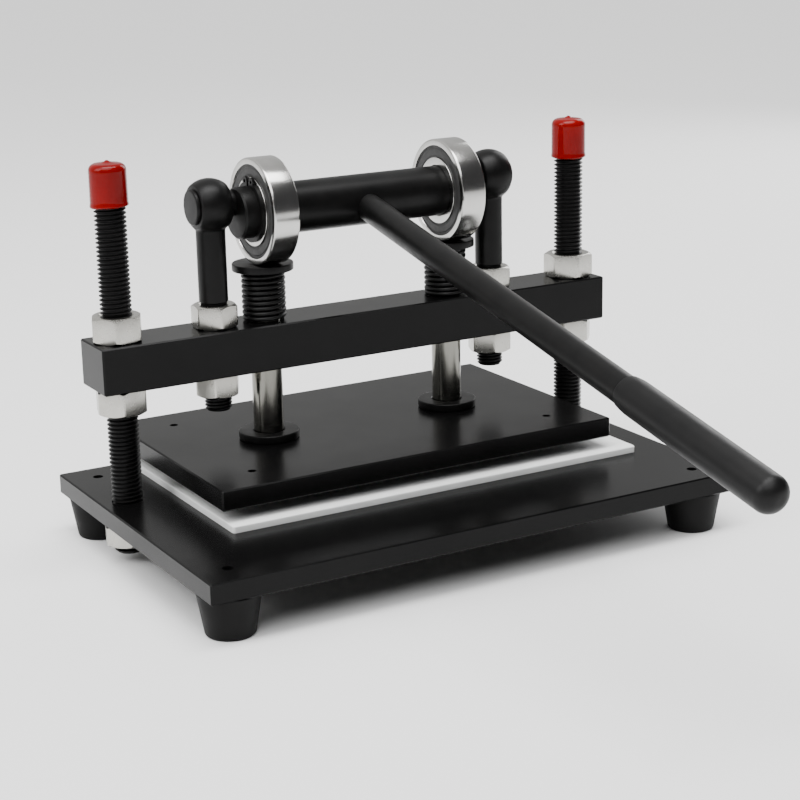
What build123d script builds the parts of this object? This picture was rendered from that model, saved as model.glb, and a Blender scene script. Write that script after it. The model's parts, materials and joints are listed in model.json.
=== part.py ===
from build123d import *
from math import cos, radians, sin
import os

# Tabletop lever press. Millimetres, +Z up, front towards -Y.
# The origin is on the table, under the middle of the whole press's outline.

# ---- driving dimensions -------------------------------------------------------------
# bed
base_length = 340.0
base_width = 220.0
base_thickness = 12.0
plate_edge_chamfer = 0.8
foot_height = 24.0
foot_top_diameter = 36.0
foot_bottom_diameter = 27.0
foot_rounding = 1.5
foot_recess_depth = 8.0
foot_recess_gap = 1.0
foot_screw_diameter = 6.0
foot_screw_head_diameter = 12.0
foot_screw_head_height = 4.0
foot_screw_socket_corners = 5.0
foot_screw_socket_depth = 2.5
foot_screw_top_gap = 4.0

# hexagon nuts
nut_face_ratio = 0.96  # turned end face over across flats
nut_corner_slope = 0.5
nut_countersink = 0.8

# threaded columns
column_inset = 16.0
column_diameter = 18.0
column_end_chamfer = 1.5
column_top_above_bed = 193.0
column_tail = 5.0
column_nut_across_flats = 27.0
column_nut_height = 15.0
base_nut_height = 13.0
cap_length = 25.5
cap_wall = 1.9
cap_roof = 2.5
cap_rounding = 3.8
cap_nipple_radius = 2.0
cap_nipple_height = 1.2

# crossbeam, set back from the middle of the bed
press_line_setback = 40.0
beam_depth = 34.0
beam_height = 27.0
beam_underside_above_bed = 68.0

# eye bolts
eye_bolt_diameter = 16.0
eye_bolt_end_chamfer = 1.2
eye_shank_step = 0.5
eye_shank_clearance = 0.8
eye_wall = 8.25
eye_half_width = 9.5
eye_nut_across_flats = 24.0
eye_nut_height = 13.5
eye_bolt_tail = 9.0

# camshaft: the bearings sit on the main shaft, which hangs from two offset pins
pin_height_above_bed = 165.5
pin_diameter = 15.0
throw = 7.0
throw_angle = 40.0
shaft_diameter = 30.0
shaft_stub = 10.0
shaft_edge_chamfer = 1.0
shaft_eye_gap = 4.5
pin_root = 2.0
button_overhang = 2.8
button_thickness = 2.0
button_rounding = 1.2
button_spigot_diameter = 6.0
button_spigot_length = 6.0
button_spigot_gap = 1.0
circlip_thickness = 1.5
circlip_radial_width = 3.2
circlip_groove_depth = 0.7
circlip_gap = 5.0
circlip_lug_radius = 2.6
circlip_lug_hole = 1.1
circlip_lug_overlap = 1.04

# rolling bearings, 30 x 62 x 16
bearing_spacing = 124.0
bearing_outer_diameter = 62.0
bearing_width = 16.0
bearing_chamfer = 1.0
bearing_bore_chamfer = 0.6
inner_ring_wall = 5.0
outer_ring_wall = 4.7
race_depth = 1.6125
race_clearance = 0.18
bearing_ball_count = 9
seal_thickness = 1.2
seal_recess = 0.5
seal_seat_gap = 0.1
seal_seat_step = 0.7
seal_lip_gap = 0.15
cage_fill = 4 / 9  # cage thickness over the gap between the rings
cage_seal_gap = 0.5

# lever
lever_total_length = 400.0
lever_bar_diameter = 16.0
lever_droop = 12.2
lever_end_chamfer = 1.0
lever_setback = 1.0
grip_diameter = 19.0
grip_length = 114.0
grip_end_wall = 5.0
grip_end_rounding = 8.0
grip_mouth_wall = 0.7
grip_taper_length = 6.0

# platen and its guide rods
platen_side_gap = 15.0
platen_width = 160.0
platen_thickness = 12.0
platen_above_bed = 11.0
rod_diameter = 18.0
rod_end_chamfer = 0.8
flange_diameter = 36.0
flange_thickness = 5.0
head_diameter = 36.0
head_thickness = 4.0
head_hub_wall = 1.2
head_hub_height = 5.0
head_roof = 2.5
disc_edge_chamfer = 0.6
die_hole_diameter = 5.0
die_hole_spacing_x = 200.0
die_hole_spacing_y = 110.0
rod_screw_diameter = 8.0
rod_screw_head_diameter = 16.0
rod_screw_length = 25.0
rod_screw_socket = 5.0
rod_screw_tip_gap = 3.0
spring_rod_gap = 1.4
spring_wire_diameter = 2.6
spring_turns = 9.5

# cutting board, loose on the bed
board_thickness = 4.0
board_shift_x = 9.0
board_overhang = 6.0
board_corner_rounding = 2.0
board_edge_chamfer = 0.5

# fits
running_fit = 0.05
seat_fit = 0.02
roller_gap = 0.03
side_gap = 0.3

# ---- derived places -----------------------------------------------------------------
bed_z = foot_height + base_thickness
foot_inset = foot_top_diameter / 2
column_x = base_length / 2 - column_inset
bearing_x = bearing_spacing / 2
rod_x = bearing_x
bearing_face_x = bearing_x + bearing_width / 2
shaft_end_x = bearing_face_x + shaft_stub
eye_x = shaft_end_x + shaft_eye_gap + eye_half_width
pin_end_x = eye_x + eye_half_width + side_gap
platen_length = 2 * (column_x - column_diameter / 2 - platen_side_gap)

eye_ball_diameter = pin_diameter + 2 * eye_wall
button_diameter = pin_diameter + 2 * button_overhang
head_hub_diameter = rod_diameter + 2 * head_hub_wall
coil_radius = rod_diameter / 2 + spring_rod_gap + spring_wire_diameter / 2

lever_inset = shaft_diameter / 2 - lever_setback
lever_reach = lever_total_length - lever_inset
throw_y = throw * sin(radians(throw_angle))
throw_z = throw * cos(radians(throw_angle))
tip_reach = (lever_reach - grip_end_rounding) * cos(radians(lever_droop)) + grip_end_rounding
front_reach = tip_reach + throw_y - press_line_setback
rear_reach = max(base_width / 2, press_line_setback + platen_width / 2)
base_y = (front_reach - rear_reach) / 2
press_y = base_y + press_line_setback

beam_bottom_z = bed_z + beam_underside_above_bed
beam_top_z = beam_bottom_z + beam_height
column_bottom_z = foot_height - base_nut_height - column_tail
column_top_z = bed_z + column_top_above_bed
pin_z = bed_z + pin_height_above_bed
shaft_y = press_y - throw_y
shaft_z = pin_z - throw_z
head_top_z = shaft_z - bearing_outer_diameter / 2 - roller_gap
head_bottom_z = head_top_z - head_thickness
hub_bottom_z = head_bottom_z - head_hub_height
platen_bottom_z = bed_z + platen_above_bed
platen_top_z = platen_bottom_z + platen_thickness
board_length = platen_length + 2 * board_overhang
board_front_y = press_y - platen_width / 2 - board_overhang
board_rear_y = base_y + base_width / 2

column_hole_radius = column_diameter / 2 + running_fit
rod_hole_radius = rod_diameter / 2 + running_fit
eye_hole_radius = eye_bolt_diameter / 2 + running_fit
shaft_axis = Axis((0, shaft_y, shaft_z), (1, 0, 0))
sides = {"left": -1, "right": 1}

os.makedirs("parts", exist_ok=True)


def upright(x, y, z=0.0):
    """Plane whose local x is the radius and local y is the height of a part turned about (x, y)."""
    return Plane(origin=(x, y, z), x_dir=(1, 0, 0), z_dir=(0, -1, 0))


def save(piece, label):
    piece.part.label = label
    export_step(piece.part, f"parts/{label}.step")


def hex_nut(x, y, z, across_flats, height, bore_radius):
    """Hexagon nut standing on z, its corners turned off at both ends and its bore countersunk."""
    corner = across_flats / 2 / cos(radians(30))
    bevel = corner - across_flats / 2 * nut_face_ratio
    rise = bevel * nut_corner_slope
    with BuildPart() as nut:
        with BuildSketch(Plane(origin=(x, y, z))):
            RegularPolygon(across_flats / 2, 6, major_radius=False)
        extrude(amount=height)
        with BuildSketch(upright(x, y, z)):
            with BuildLine():
                Polyline(
                    (0, 0),
                    (corner - bevel, 0),
                    (corner, rise),
                    (corner, height - rise),
                    (corner - bevel, height),
                    (0, height),
                    close=True,
                )
            make_face()
        revolve(axis=Axis((x, y, 0), (0, 0, 1)), mode=Mode.INTERSECT)
        with Locations((x, y, z + height)):
            Hole(bore_radius, depth=height)
        chamfer(nut.edges().filter_by(GeomType.CIRCLE).filter_by(
            lambda e: abs(e.radius - bore_radius) < 0.01), nut_countersink)
    return nut


# ---- bed ----------------------------------------------------------------------------
foot_spots = [
    (x * (base_length / 2 - foot_inset), base_y + y * (base_width / 2 - foot_inset))
    for x, y in ((-1, -1), (1, -1), (-1, 1), (1, 1))
]

with BuildPart() as base_plate:
    with BuildSketch(Plane.XY.offset(foot_height)):
        with Locations((0, base_y)):
            Rectangle(base_length, base_width)
    extrude(amount=base_thickness)
    chamfer(base_plate.edges(), plate_edge_chamfer)
    with BuildSketch(Plane.XY.offset(foot_height)):
        with Locations(*foot_spots):
            Circle(foot_screw_diameter / 2)
        with Locations(*[(side * column_x, press_y) for side in sides.values()]):
            Circle(column_hole_radius)
    extrude(amount=base_thickness, mode=Mode.SUBTRACT)
save(base_plate, "base_plate")

foot_names = ("foot_front_left", "foot_front_right", "foot_rear_left", "foot_rear_right")
for foot_name, (foot_x, foot_y) in zip(foot_names, foot_spots):
    with BuildPart() as foot:
        with BuildSketch(upright(foot_x, foot_y)):
            with BuildLine():
                Polyline(
                    (0, 0),
                    (foot_bottom_diameter / 2, 0),
                    (foot_top_diameter / 2, foot_height),
                    (0, foot_height),
                    close=True,
                )
            make_face()
        revolve(axis=Axis((foot_x, foot_y, 0), (0, 0, 1)))
        fillet(foot.edges().filter_by(GeomType.CIRCLE), foot_rounding)
        with BuildSketch(Plane.XY):
            with Locations((foot_x, foot_y)):
                Circle(foot_screw_head_diameter / 2 + foot_recess_gap)
        extrude(amount=foot_recess_depth, mode=Mode.SUBTRACT)
        with BuildSketch(Plane.XY):
            with Locations((foot_x, foot_y)):
                Circle(foot_screw_diameter / 2)
        extrude(amount=foot_height, mode=Mode.SUBTRACT)
    save(foot, foot_name)

foot_screw_bottom_z = foot_recess_depth - foot_screw_head_height
foot_socket_top_z = foot_screw_bottom_z + foot_screw_socket_depth
with BuildPart() as foot_screws:
    with BuildSketch(Plane.XY.offset(foot_screw_bottom_z)):
        with Locations(*foot_spots):
            Circle(foot_screw_head_diameter / 2)
            RegularPolygon(foot_screw_socket_corners / 2, 6, mode=Mode.SUBTRACT)
    extrude(amount=foot_screw_head_height)
    with BuildSketch(Plane.XY.offset(foot_socket_top_z)):
        with Locations(*foot_spots):
            Circle(foot_screw_diameter / 2 - running_fit)
    extrude(amount=bed_z - foot_screw_top_gap - foot_socket_top_z)
save(foot_screws, "foot_screws")

# ---- columns, their nuts and their caps ---------------------------------------------
cap_top_z = column_top_z + side_gap + cap_roof
for side_name, side in sides.items():
    x = side * column_x
    with BuildPart() as column:
        with BuildSketch(Plane.XY.offset(column_bottom_z)):
            with Locations((x, press_y)):
                Circle(column_diameter / 2)
        extrude(amount=column_top_z - column_bottom_z)
        chamfer(column.edges().filter_by(GeomType.CIRCLE), column_end_chamfer)
    save(column, f"column_{side_name}")

    with BuildPart() as cap:
        with BuildSketch(Plane.XY.offset(cap_top_z - cap_length)):
            with Locations((x, press_y)):
                Circle(column_hole_radius + cap_wall)
        extrude(amount=cap_length)
        fillet(cap.faces().sort_by(Axis.Z)[-1].edges(), cap_rounding)
        with BuildSketch(Plane.XY.offset(cap_top_z - cap_length)):
            with Locations((x, press_y)):
                Circle(column_hole_radius)
        extrude(amount=cap_length - cap_roof, mode=Mode.SUBTRACT)
        with BuildSketch(Plane.XY.offset(cap_top_z)):
            with Locations((x, press_y)):
                Circle(cap_nipple_radius)
        extrude(amount=cap_nipple_height)
    save(cap, f"cap_{side_name}")

    column_nuts = {
        "base_nut": (foot_height - base_nut_height, base_nut_height),
        "column_lower_nut": (beam_bottom_z - column_nut_height, column_nut_height),
        "column_upper_nut": (beam_top_z, column_nut_height),
    }
    for nut_name, (z, height) in column_nuts.items():
        nut = hex_nut(x, press_y, z, column_nut_across_flats, height, column_hole_radius)
        save(nut, f"{nut_name}_{side_name}")

# ---- crossbeam ----------------------------------------------------------------------
with BuildPart() as crossbeam:
    with BuildSketch(Plane.XY.offset(beam_bottom_z)):
        with Locations((0, press_y)):
            Rectangle(base_length, beam_depth)
    extrude(amount=beam_height)
    chamfer(crossbeam.edges(), plate_edge_chamfer)
    with BuildSketch(Plane.XY.offset(beam_bottom_z)):
        with Locations(*[(side * column_x, press_y) for side in sides.values()]):
            Circle(column_hole_radius)
        with Locations(*[(side * eye_x, press_y) for side in sides.values()]):
            Circle(eye_hole_radius)
        with Locations(*[(side * rod_x, press_y) for side in sides.values()]):
            Circle(rod_hole_radius)
    extrude(amount=beam_height, mode=Mode.SUBTRACT)
save(crossbeam, "crossbeam")

# ---- eye bolts ----------------------------------------------------------------------
eye_bottom_z = beam_bottom_z - eye_nut_height - eye_bolt_tail
eye_shank_bottom_z = beam_top_z + eye_nut_height + eye_shank_clearance
for side_name, side in sides.items():
    x = side * eye_x
    with BuildPart() as eye_bolt:
        with BuildSketch(Plane.XY.offset(eye_bottom_z)):
            with Locations((x, press_y)):
                Circle(eye_bolt_diameter / 2)
        extrude(amount=pin_z - eye_bottom_z)
        chamfer(eye_bolt.faces().sort_by(Axis.Z)[0].edges(), eye_bolt_end_chamfer)
        with BuildSketch(Plane.XY.offset(eye_shank_bottom_z)):
            with Locations((x, press_y)):
                Circle(eye_bolt_diameter / 2 + eye_shank_step)
        extrude(amount=pin_z - eye_shank_bottom_z)
        with Locations((x, press_y, pin_z)):
            Sphere(eye_ball_diameter / 2)
        with BuildSketch(Plane.YZ.offset(x - eye_half_width)):
            with Locations((press_y, pin_z)):
                Circle(eye_ball_diameter)
        extrude(amount=-eye_ball_diameter, mode=Mode.SUBTRACT)
        with BuildSketch(Plane.YZ.offset(x + eye_half_width)):
            with Locations((press_y, pin_z)):
                Circle(eye_ball_diameter)
        extrude(amount=eye_ball_diameter, mode=Mode.SUBTRACT)
        with BuildSketch(Plane.YZ.offset(x - eye_ball_diameter)):
            with Locations((press_y, pin_z)):
                Circle(pin_diameter / 2 + running_fit)
        extrude(amount=eye_ball_diameter * 2, mode=Mode.SUBTRACT)
    save(eye_bolt, f"eye_bolt_{side_name}")

    eye_nuts = {"eye_lower_nut": beam_bottom_z - eye_nut_height, "eye_upper_nut": beam_top_z}
    for nut_name, z in eye_nuts.items():
        nut = hex_nut(x, press_y, z, eye_nut_across_flats, eye_nut_height, eye_hole_radius)
        save(nut, f"{nut_name}_{side_name}")

# ---- camshaft -----------------------------------------------------------------------
lever_plane = Plane(
    origin=(0, shaft_y, shaft_z),
    x_dir=(1, 0, 0),
    z_dir=(0, -cos(radians(lever_droop)), -sin(radians(lever_droop))),
)
groove_width = circlip_thickness + 0.1
groove_radius = shaft_diameter / 2 - circlip_groove_depth

with BuildPart() as camshaft:
    with BuildSketch(Plane.YZ.offset(-shaft_end_x)):
        with Locations((shaft_y, shaft_z)):
            Circle(shaft_diameter / 2)
    extrude(amount=2 * shaft_end_x)
    chamfer(camshaft.edges().filter_by(GeomType.CIRCLE), shaft_edge_chamfer)
    for groove_x in (-bearing_face_x - groove_width, bearing_face_x):
        with BuildSketch(Plane.YZ.offset(groove_x)):
            with Locations((shaft_y, shaft_z)):
                Circle(shaft_diameter)
                Circle(groove_radius, mode=Mode.SUBTRACT)
        extrude(amount=groove_width, mode=Mode.SUBTRACT)
    with BuildSketch(Plane.YZ.offset(-pin_end_x)):
        with Locations((press_y, pin_z)):
            Circle(pin_diameter / 2)
    extrude(amount=pin_end_x - shaft_end_x + pin_root)
    with BuildSketch(Plane.YZ.offset(shaft_end_x - pin_root)):
        with Locations((press_y, pin_z)):
            Circle(pin_diameter / 2)
    extrude(amount=pin_end_x - shaft_end_x + pin_root)
    for end_x, inwards in ((-pin_end_x, 1), (pin_end_x, -1)):
        with BuildSketch(Plane.YZ.offset(end_x)):
            with Locations((press_y, pin_z)):
                Circle(button_spigot_diameter / 2 + seat_fit)
        extrude(amount=inwards * (button_spigot_length + button_spigot_gap), mode=Mode.SUBTRACT)
    with BuildSketch(lever_plane.offset(-shaft_diameter)):
        Circle(lever_bar_diameter / 2 + seat_fit)
    extrude(amount=2 * shaft_diameter, mode=Mode.SUBTRACT)
save(camshaft, "camshaft")

for side_name, side in sides.items():
    with BuildPart() as pin_button:
        with BuildSketch(Plane.YZ.offset(side * pin_end_x)):
            with Locations((press_y, pin_z)):
                Circle(button_diameter / 2)
        extrude(amount=side * button_thickness)
        fillet(pin_button.faces().sort_by(Axis.X)[0 if side < 0 else -1].edges(), button_rounding)
        with BuildSketch(Plane.YZ.offset(side * pin_end_x)):
            with Locations((press_y, pin_z)):
                Circle(button_spigot_diameter / 2)
        extrude(amount=-side * button_spigot_length)
    save(pin_button, f"pin_button_{side_name}")

    circlip_inner = groove_radius + running_fit
    circlip_outer = circlip_inner + circlip_radial_width
    lug_y = circlip_gap / 2 + circlip_lug_radius - circlip_lug_overlap
    circlip_x = side * (bearing_face_x + groove_width / 2) - circlip_thickness / 2
    with BuildPart() as circlip:
        with BuildSketch(Plane(origin=(circlip_x, shaft_y, shaft_z), x_dir=(0, 1, 0), z_dir=(1, 0, 0))):
            Circle(circlip_outer)
            with Locations((-lug_y, circlip_outer), (lug_y, circlip_outer)):
                Circle(circlip_lug_radius)
            Circle(circlip_inner, mode=Mode.SUBTRACT)
            with Locations((0, circlip_outer)):
                Rectangle(circlip_gap / 2, circlip_outer, mode=Mode.SUBTRACT)
            with Locations((-lug_y, circlip_outer), (lug_y, circlip_outer)):
                Circle(circlip_lug_hole, mode=Mode.SUBTRACT)
        extrude(amount=circlip_thickness)
    save(circlip, f"circlip_{side_name}")

# ---- rolling bearings ---------------------------------------------------------------
half_width = bearing_width / 2
inner_land = shaft_diameter / 2 + inner_ring_wall
outer_land = bearing_outer_diameter / 2 - outer_ring_wall
ball_radius = (outer_land - inner_land) / 2 + race_depth
race_radius = ball_radius + race_clearance
pitch_radius = (shaft_diameter + bearing_outer_diameter) / 4
seal_seat_depth = seal_recess + seal_thickness + seal_seat_gap
seal_outer = outer_land + seal_seat_step
seal_inner = inner_land + seal_lip_gap
cage_thickness = (outer_land - inner_land) * cage_fill
cage_width = bearing_width - 2 * (seal_recess + seal_thickness + cage_seal_gap)

for side_name, side in sides.items():
    x = side * bearing_x
    bearing_plane = upright(x, shaft_y, shaft_z)
    bearing_face = Plane(origin=(x, shaft_y, shaft_z), x_dir=(0, 1, 0), z_dir=(1, 0, 0))

    with BuildPart() as inner_ring:
        with BuildSketch(bearing_plane):
            with BuildLine():
                Polyline(
                    (-half_width, shaft_diameter / 2 + seat_fit),
                    (-half_width, inner_land),
                    (half_width, inner_land),
                    (half_width, shaft_diameter / 2 + seat_fit),
                    close=True,
                )
            make_face()
            with Locations((0, pitch_radius)):
                Circle(race_radius, mode=Mode.SUBTRACT)
        revolve(axis=shaft_axis)
        chamfer(inner_ring.edges().filter_by(GeomType.CIRCLE).filter_by(
            lambda e: abs(e.radius - shaft_diameter / 2 - seat_fit) < 0.01), bearing_bore_chamfer)
    save(inner_ring, f"bearing_inner_ring_{side_name}")

    with BuildPart() as outer_ring:
        with BuildSketch(bearing_plane):
            with BuildLine():
                Polyline(
                    (-half_width, bearing_outer_diameter / 2),
                    (-half_width, seal_outer + running_fit),
                    (-half_width + seal_seat_depth, seal_outer + running_fit),
                    (-half_width + seal_seat_depth, outer_land),
                    (half_width - seal_seat_depth, outer_land),
                    (half_width - seal_seat_depth, seal_outer + running_fit),
                    (half_width, seal_outer + running_fit),
                    (half_width, bearing_outer_diameter / 2),
                    close=True,
                )
            make_face()
            with Locations((0, pitch_radius)):
                Circle(race_radius, mode=Mode.SUBTRACT)
        revolve(axis=shaft_axis)
        chamfer(outer_ring.edges().filter_by(GeomType.CIRCLE).filter_by(
            lambda e: abs(e.radius - bearing_outer_diameter / 2) < 0.01), bearing_chamfer)
    save(outer_ring, f"bearing_outer_ring_{side_name}")

    with BuildPart() as seals:
        for seal_x in (x - half_width + seal_recess, x + half_width - seal_recess - seal_thickness):
            with BuildSketch(Plane.YZ.offset(seal_x)):
                with Locations((shaft_y, shaft_z)):
                    Circle(seal_outer)
                    Circle(seal_inner, mode=Mode.SUBTRACT)
            extrude(amount=seal_thickness)
    save(seals, f"bearing_seals_{side_name}")

    with BuildPart() as balls:
        with Locations(bearing_face):
            with PolarLocations(pitch_radius, bearing_ball_count):
                Sphere(ball_radius)
    save(balls, f"bearing_balls_{side_name}")

    with BuildPart() as cage:
        with BuildSketch(bearing_face.offset(-cage_width / 2)):
            Circle(pitch_radius + cage_thickness / 2)
            Circle(pitch_radius - cage_thickness / 2, mode=Mode.SUBTRACT)
        extrude(amount=cage_width)
        with Locations(bearing_face):
            with PolarLocations(pitch_radius, bearing_ball_count):
                Cylinder(race_radius, pitch_radius, rotation=(0, 90, 0), mode=Mode.SUBTRACT)
    save(cage, f"bearing_cage_{side_name}")

# ---- lever --------------------------------------------------------------------------
grip_start = lever_reach - grip_length
bar_end = lever_reach - grip_end_wall
with BuildPart() as lever_bar:
    with BuildSketch(lever_plane.offset(-lever_inset)):
        Circle(lever_bar_diameter / 2)
    extrude(amount=lever_inset + bar_end - side_gap)
    chamfer(lever_bar.edges().filter_by(GeomType.CIRCLE), lever_end_chamfer)
save(lever_bar, "lever_bar")

grip_bore_radius = lever_bar_diameter / 2 + seat_fit
with BuildPart() as lever_grip:
    with BuildSketch(Plane(origin=lever_plane.origin, x_dir=lever_plane.z_dir, z_dir=lever_plane.x_dir)):
        with BuildLine():
            Polyline(
                (grip_start, 0),
                (grip_start, grip_bore_radius + grip_mouth_wall),
                (grip_start + grip_taper_length, grip_diameter / 2),
                (lever_reach, grip_diameter / 2),
                (lever_reach, 0),
                close=True,
            )
        make_face()
    revolve(axis=Axis(lever_plane.origin, lever_plane.z_dir))
    fillet(lever_grip.faces().sort_by(Axis.Y)[0].edges(), grip_end_rounding)
    with BuildSketch(lever_plane.offset(grip_start)):
        Circle(grip_bore_radius)
    extrude(amount=grip_length - grip_end_wall, mode=Mode.SUBTRACT)
save(lever_grip, "lever_grip")

# ---- platen, rods, heads and springs ------------------------------------------------
rod_spots = [(side * rod_x, press_y) for side in sides.values()]
with BuildPart() as platen:
    with BuildSketch(Plane.XY.offset(platen_bottom_z)):
        with Locations((0, press_y)):
            Rectangle(platen_length, platen_width)
    extrude(amount=platen_thickness)
    chamfer(platen.edges(), plate_edge_chamfer)
    with BuildSketch(Plane.XY.offset(platen_bottom_z)):
        with Locations((0, press_y)):
            with GridLocations(die_hole_spacing_x, die_hole_spacing_y, 2, 2):
                Circle(die_hole_diameter / 2)
    extrude(amount=platen_thickness, mode=Mode.SUBTRACT)
    with Locations(Plane(origin=(0, press_y, platen_bottom_z), z_dir=(0, 0, -1))):
        with GridLocations(2 * rod_x, 0, 2, 1):
            CounterSinkHole(
                rod_screw_diameter / 2 + running_fit,
                rod_screw_head_diameter / 2,
                depth=platen_thickness,
                counter_sink_angle=90,
            )
save(platen, "platen")

rod_top_z = head_top_z - head_roof - side_gap
for side_name, side in sides.items():
    x = side * rod_x
    with BuildPart() as guide_rod:
        with BuildSketch(Plane.XY.offset(platen_top_z)):
            with Locations((x, press_y)):
                Circle(rod_diameter / 2)
        extrude(amount=rod_top_z - platen_top_z)
        chamfer(guide_rod.edges().filter_by(GeomType.CIRCLE), rod_end_chamfer)
        with BuildSketch(Plane.XY.offset(platen_top_z)):
            with Locations((x, press_y)):
                Circle(rod_screw_diameter / 2 + running_fit)
        extrude(amount=rod_screw_length - platen_thickness + rod_screw_tip_gap, mode=Mode.SUBTRACT)
    save(guide_rod, f"guide_rod_{side_name}")

    with BuildPart() as rod_flange:
        with BuildSketch(Plane.XY.offset(platen_top_z)):
            with Locations((x, press_y)):
                Circle(flange_diameter / 2)
                Circle(rod_diameter / 2 + seat_fit, mode=Mode.SUBTRACT)
        extrude(amount=flange_thickness)
        chamfer(rod_flange.faces().sort_by(Axis.Z)[-1].edges(), disc_edge_chamfer)
    save(rod_flange, f"rod_flange_{side_name}")

    with BuildPart() as rod_head:
        with BuildSketch(Plane.XY.offset(hub_bottom_z)):
            with Locations((x, press_y)):
                Circle(head_hub_diameter / 2)
        extrude(amount=head_hub_height)
        with BuildSketch(Plane.XY.offset(head_bottom_z)):
            with Locations((x, press_y)):
                Circle(head_diameter / 2)
        extrude(amount=head_thickness)
        chamfer(rod_head.faces().sort_by(Axis.Z)[-1].edges(), disc_edge_chamfer)
        with BuildSketch(Plane.XY.offset(hub_bottom_z)):
            with Locations((x, press_y)):
                Circle(rod_diameter / 2 + seat_fit)
        extrude(amount=head_top_z - head_roof - hub_bottom_z, mode=Mode.SUBTRACT)
    save(rod_head, f"rod_head_{side_name}")

    coil_rise = head_bottom_z - beam_top_z - spring_wire_diameter - 2 * side_gap
    coil_bottom_z = beam_top_z + spring_wire_diameter / 2 + side_gap
    with BuildPart() as spring:
        with BuildLine() as coil:
            Helix(coil_rise / spring_turns, coil_rise, coil_radius, center=(x, press_y, coil_bottom_z))
        with BuildSketch(Plane(origin=coil.line @ 0, z_dir=coil.line % 0)):
            Circle(spring_wire_diameter / 2)
        sweep(is_frenet=True)
    save(spring, f"return_spring_{side_name}")

rod_screw_radius = rod_screw_diameter / 2
rod_screw_head_radius = rod_screw_head_diameter / 2 - 2 * running_fit
rod_screw_head_rise = rod_screw_head_radius - rod_screw_radius
with BuildPart() as rod_screws:
    for x, y in rod_spots:
        with BuildSketch(upright(x, y, platen_bottom_z)):
            with BuildLine():
                Polyline(
                    (0, 0),
                    (rod_screw_head_radius, 0),
                    (rod_screw_radius, rod_screw_head_rise),
                    (rod_screw_radius, rod_screw_length),
                    (0, rod_screw_length),
                    close=True,
                )
            make_face()
        revolve(axis=Axis((x, y, 0), (0, 0, 1)))
    with BuildSketch(Plane.XY.offset(platen_bottom_z)):
        with Locations(*rod_spots):
            RegularPolygon(rod_screw_socket / 2, 6, major_radius=False)
    extrude(amount=rod_screw_head_rise, mode=Mode.SUBTRACT)
save(rod_screws, "rod_screws")

# ---- cutting board ------------------------------------------------------------------
with BuildPart() as cutting_board:
    with BuildSketch(Plane.XY.offset(bed_z)):
        with Locations((board_shift_x, (board_front_y + board_rear_y) / 2)):
            Rectangle(board_length, board_rear_y - board_front_y)
    extrude(amount=board_thickness)
    fillet(cutting_board.edges().filter_by(Axis.Z), board_corner_rounding)
    chamfer(cutting_board.faces().sort_by(Axis.Z)[-1].edges(), board_edge_chamfer)
save(cutting_board, "cutting_board")
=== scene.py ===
"""Tabletop lever press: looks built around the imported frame. Metres, +Z up, lever towards -Y."""
import json
from math import cos, pi, radians, sin, sqrt

import bmesh
import bpy
from mathutils import Euler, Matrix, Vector


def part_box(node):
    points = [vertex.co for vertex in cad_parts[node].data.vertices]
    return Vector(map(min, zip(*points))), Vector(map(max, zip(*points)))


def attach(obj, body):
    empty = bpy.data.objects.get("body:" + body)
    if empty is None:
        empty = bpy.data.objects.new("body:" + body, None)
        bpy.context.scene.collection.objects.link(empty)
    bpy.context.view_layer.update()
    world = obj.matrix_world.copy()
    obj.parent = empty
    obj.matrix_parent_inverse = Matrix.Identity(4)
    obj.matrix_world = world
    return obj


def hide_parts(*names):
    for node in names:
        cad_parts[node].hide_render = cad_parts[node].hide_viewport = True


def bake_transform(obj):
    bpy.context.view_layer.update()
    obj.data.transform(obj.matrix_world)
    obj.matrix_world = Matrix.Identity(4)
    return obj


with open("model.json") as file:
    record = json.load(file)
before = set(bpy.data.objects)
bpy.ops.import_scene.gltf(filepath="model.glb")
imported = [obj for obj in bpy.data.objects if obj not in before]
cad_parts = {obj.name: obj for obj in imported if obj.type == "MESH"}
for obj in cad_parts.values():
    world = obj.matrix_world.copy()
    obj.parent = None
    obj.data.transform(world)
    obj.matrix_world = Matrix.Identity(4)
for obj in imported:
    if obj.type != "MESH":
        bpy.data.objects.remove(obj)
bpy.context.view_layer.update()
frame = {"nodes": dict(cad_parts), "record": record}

MM = 0.001
SIDES = {"left": -1, "right": 1}
scene = bpy.context.scene

# ---- sizes of details ---------------------------------------------------------------
COLUMN_PITCH = 2.5 * MM
EYE_BOLT_PITCH = 2.0 * MM
EYE_BOLT_THREAD_RADIUS = 8.0 * MM
EYE_BOLT_SHANK_RADIUS = EYE_BOLT_THREAD_RADIUS + 0.5 * MM
PIN_RADIUS = 7.5 * MM
EYE_BORE_RADIUS = PIN_RADIUS + 0.05 * MM
SHAFT_RADIUS = 15.0 * MM
SHAFT_HALF_LENGTH = 80.0 * MM
SHAFT_EDGE = 1.0 * MM
GROOVE_PLACE = 70.0 * MM
GROOVE_WIDTH = 1.6 * MM
GROOVE_DEPTH = 0.7 * MM
OUTER_RING_LAND = 27.05 * MM
OUTER_RING_RACE = 26.3 * MM
INNER_RING_RADIUS = 20.0 * MM
INNER_RING_BORE = SHAFT_RADIUS + 0.02 * MM
LEVER_DROOP = radians(12.2)
LEVER_BAR_RADIUS = 8.0 * MM
LEVER_START = -14.0 * MM
LEVER_LENGTH = 400.0 * MM
GRIP_LENGTH = 114.0 * MM
GRIP_RADIUS = 9.5 * MM
GRIP_END_ROUNDING = 8.0 * MM
ROD_RADIUS = 9.0 * MM
ROD_SCREW_RADIUS = 4.05 * MM
HEAD_HUB_RADIUS = 10.2 * MM
SLIDING_GAP = 0.03 * MM
SPRING_RADIUS = 11.7 * MM
SPRING_WIRE = 1.3 * MM
SPRING_TURNS = 9.5
CORE = 0.4 * MM  # where an outline stops beside its own axis; the pinhole left there is filled


# ---- places, read from the frame ----------------------------------------------------
def middle(node):
    low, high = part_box(node)
    return (low + high) / 2


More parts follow.
